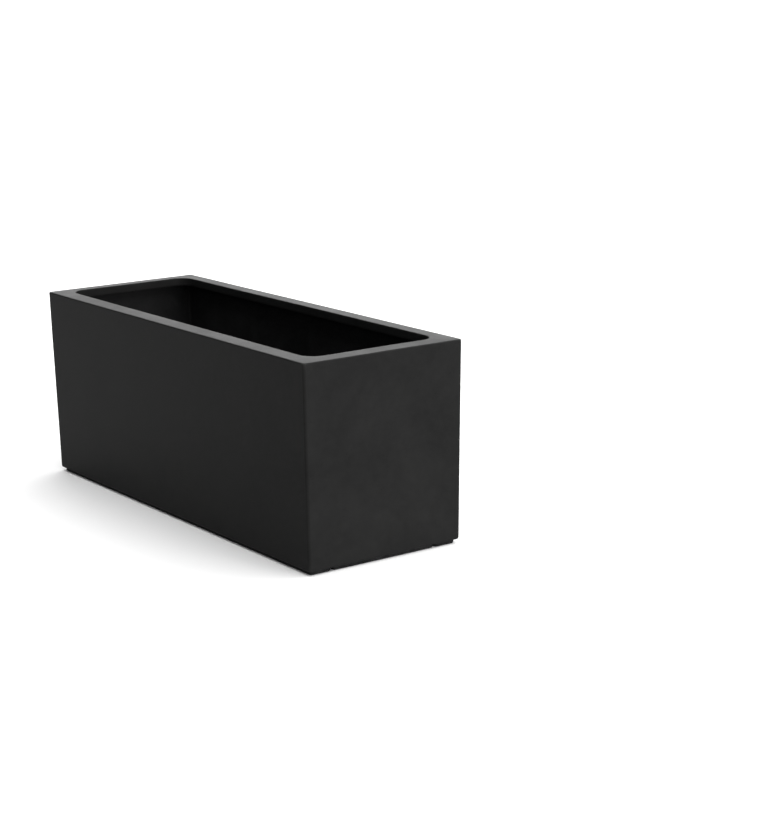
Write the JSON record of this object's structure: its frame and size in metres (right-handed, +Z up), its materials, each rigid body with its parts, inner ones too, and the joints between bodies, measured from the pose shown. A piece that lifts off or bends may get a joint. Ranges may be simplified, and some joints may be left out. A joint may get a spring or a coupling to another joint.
{
  "type": "planter box",
  "caption": "Long rectangular planter trough with slightly drafted walls, a turned-in rim with a lip, plugged drain holes and low rubber base rails.",
  "frame": {"origin": "on the ground under the middle of the box, at the level of the base rails' soles", "axes": "+Z up, +X along the length, -Y towards the front"},
  "size_m": [0.7, 0.25, 0.28],
  "materials": {
    "shell": "matte charcoal fibre composite, faintly mottled",
    "rim_bar": "galvanised, dull",
    "drain_bush": "moulded, matte",
    "plug_rubber": "matte",
    "rail_rubber": "matte",
    "insert": "turned",
    "screw": "stainless, satin"
  },
  "bodies": {
    "planter": {"shell": "shell", "rim_bar_front": "rim_bar", "rim_bar_back": "rim_bar", "rim_bar_left": "rim_bar", "rim_bar_right": "rim_bar", "drain_bush_left": "drain_bush", "drain_bush_middle": "drain_bush", "drain_bush_right": "drain_bush", "base_rail_front": "rail_rubber", "base_rail_back": "rail_rubber", "base_rail_left": "rail_rubber", "base_rail_right": "rail_rubber", "rail_insert_front_left": "insert", "rail_screw_front_left": "screw", "rail_insert_front_middle": "insert", "rail_screw_front_middle": "screw", "rail_insert_front_right": "insert", "rail_screw_front_right": "screw", "rail_insert_back_left": "insert", "rail_screw_back_left": "screw", "rail_insert_back_middle": "insert", "rail_screw_back_middle": "screw", "rail_insert_back_right": "insert", "rail_screw_back_right": "screw", "rail_insert_left_front": "insert", "rail_screw_left_front": "screw", "rail_insert_left_back": "insert", "rail_screw_left_back": "screw", "rail_insert_right_front": "insert", "rail_screw_right_front": "screw", "rail_insert_right_back": "insert", "rail_screw_right_back": "screw"},
    "plug_left": {"drain_plug_left": "plug_rubber"},
    "plug_middle": {"drain_plug_middle": "plug_rubber"},
    "plug_right": {"drain_plug_right": "plug_rubber"}
  },
  "joints": [
    {"name": "plug_left_pull", "type": "slide", "parent": "planter", "child": "plug_left", "axis": [0, 0, 1], "range_m": [0, 0.3]},
    {"name": "plug_middle_pull", "type": "slide", "parent": "planter", "child": "plug_middle", "axis": [0, 0, 1], "range_m": [0, 0.3]},
    {"name": "plug_right_pull", "type": "slide", "parent": "planter", "child": "plug_right", "axis": [0, 0, 1], "range_m": [0, 0.3]}
  ]
}
